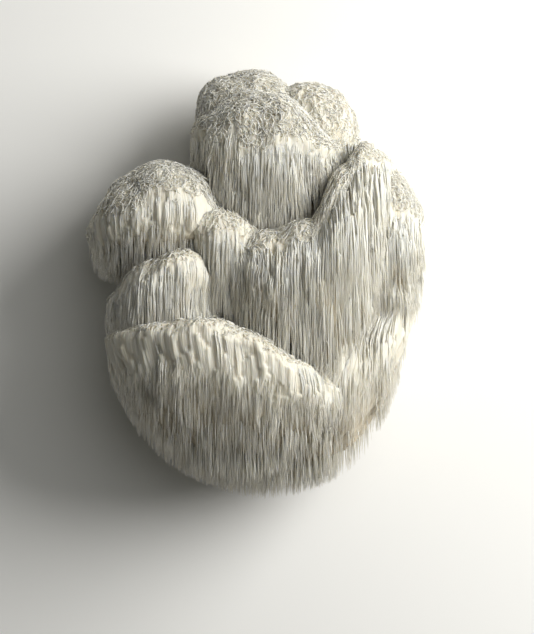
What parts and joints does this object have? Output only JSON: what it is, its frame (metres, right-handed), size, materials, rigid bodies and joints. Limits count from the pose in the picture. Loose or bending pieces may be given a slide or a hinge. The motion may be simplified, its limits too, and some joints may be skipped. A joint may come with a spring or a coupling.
{
  "type": "lions mane mushroom",
  "caption": "Whole lion's mane mushroom: swollen lobes hung with curtains of soft pointed spines, cut flat at the back where it grew on a trunk.",
  "frame": {"origin": "middle of the footprint, in the plane of the flat cut that the mushroom lies on", "axes": "+Z away from the cut, towards what was the mushroom's front; +Y up as the mushroom grew, so the spines point along -Y; +X to the right as it is seen from the front"},
  "size_m": [0.1701, 0.216, 0.1227],
  "materials": {
    "flesh": "matt, soft, warm white"
  },
  "bodies": {
    "root": {"fruiting_body": "flesh"}
  },
  "joints": []
}
